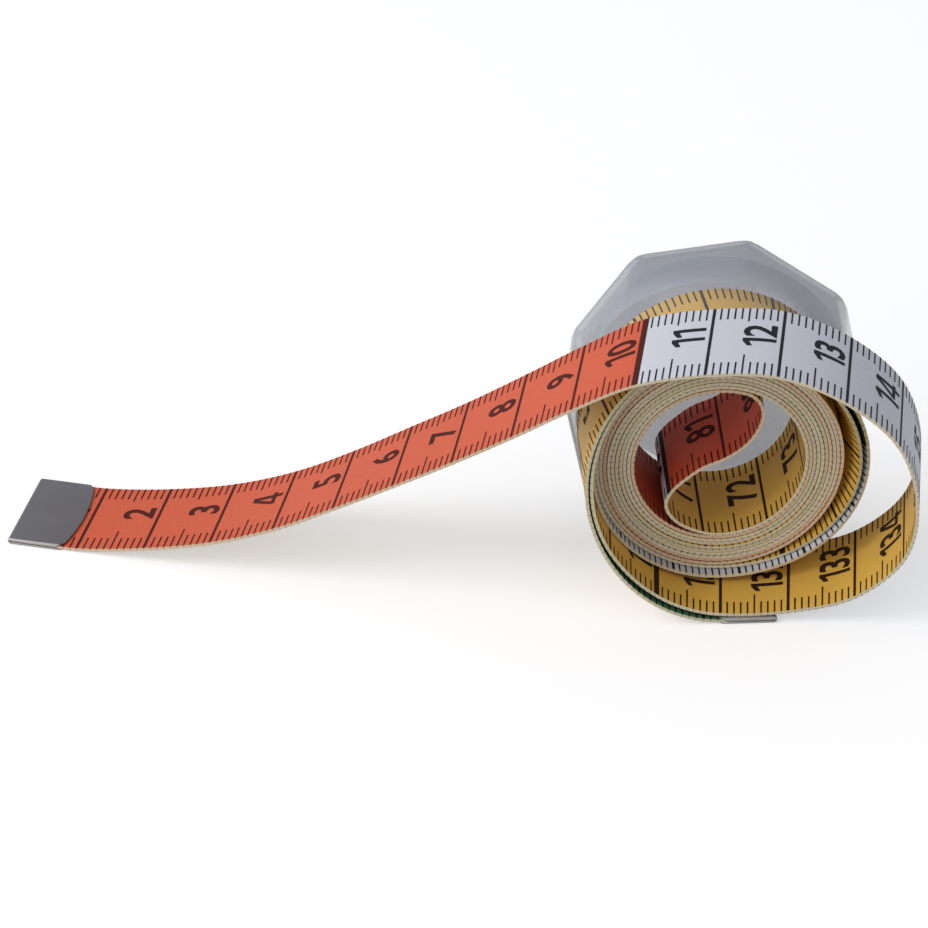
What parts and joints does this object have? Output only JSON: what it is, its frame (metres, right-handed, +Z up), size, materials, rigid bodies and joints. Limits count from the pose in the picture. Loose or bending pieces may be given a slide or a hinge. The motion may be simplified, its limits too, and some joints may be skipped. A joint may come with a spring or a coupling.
{
  "type": "cloth tape measure",
  "caption": "Coated cloth tape, folded in half and wound up, partly drawn out of its open frosted case, with a loose front loop and a free end.",
  "frame": {"origin": "on the table, under the middle of the whole part's bounding box", "axes": "+X along the table from the free end towards the case, +Y from the case's open mouth towards its closed end, +Z up"},
  "size_m": [0.131, 0.0388, 0.0428],
  "materials": {
    "case": "frosted, translucent",
    "winding": "coated weave, layered cut edges",
    "yellow": "coated weave, satin",
    "white": "coated weave, satin",
    "orange": "coated weave, satin",
    "tip": "matte grey"
  },
  "bodies": {
    "case": {"case": "case"},
    "coil": {"tape_winding": "winding", "tape_core_fold": "yellow", "tape_far_leg": "yellow", "tape_front_loop": "white", "far_end_tip": "tip"},
    "free_end": {"tape_free_end": "orange", "zero_end_tip": "tip"}
  },
  "joints": [
    {"name": "coil_out", "type": "slide", "parent": "case", "child": "coil", "axis": [-0.0698, -0.9976, 0], "range_m": [0, 0.04]},
    {"name": "free_end_lift", "type": "hinge", "parent": "coil", "child": "free_end", "pos_m": [0.02994, -0.00958, 0.04108], "axis": [0.1293, 0.9901, 0.0554], "range_deg": [0, 60]}
  ]
}
